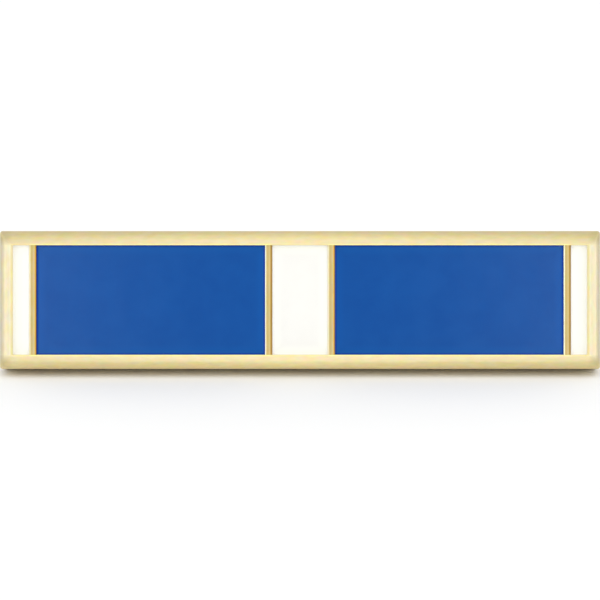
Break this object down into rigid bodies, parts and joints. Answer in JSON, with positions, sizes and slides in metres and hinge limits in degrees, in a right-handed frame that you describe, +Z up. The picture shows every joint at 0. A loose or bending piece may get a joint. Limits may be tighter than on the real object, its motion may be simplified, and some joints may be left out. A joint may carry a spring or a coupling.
{
  "type": "ribbon bar lapel pin",
  "caption": "Ribbon-shaped lapel pin: a struck metal bar with a raised rim, white and blue enamel stripes between raised walls, and a pointed post behind it.",
  "frame": {"origin": "on the surface that the pin rests on, under the middle of its box", "axes": "+X along the bar, to the right as seen from the front; -Y the way the face looks, apart from its lean; +Z up. The pin rests on the bar's lower back edge and the tip of its post, so its face leans back by 13.5 degrees."},
  "size_m": [0.0174, 0.0094, 0.0041],
  "materials": {
    "gold_plate": "satin",
    "gold_plate_post": "satin",
    "white_enamel": "gloss",
    "blue_enamel": "gloss"
  },
  "bodies": {
    "root": {"base": "gold_plate", "enamel_white_left": "white_enamel", "enamel_blue_left": "blue_enamel", "enamel_white_centre": "white_enamel", "enamel_blue_right": "blue_enamel", "enamel_white_right": "white_enamel", "post": "gold_plate_post"}
  },
  "joints": []
}
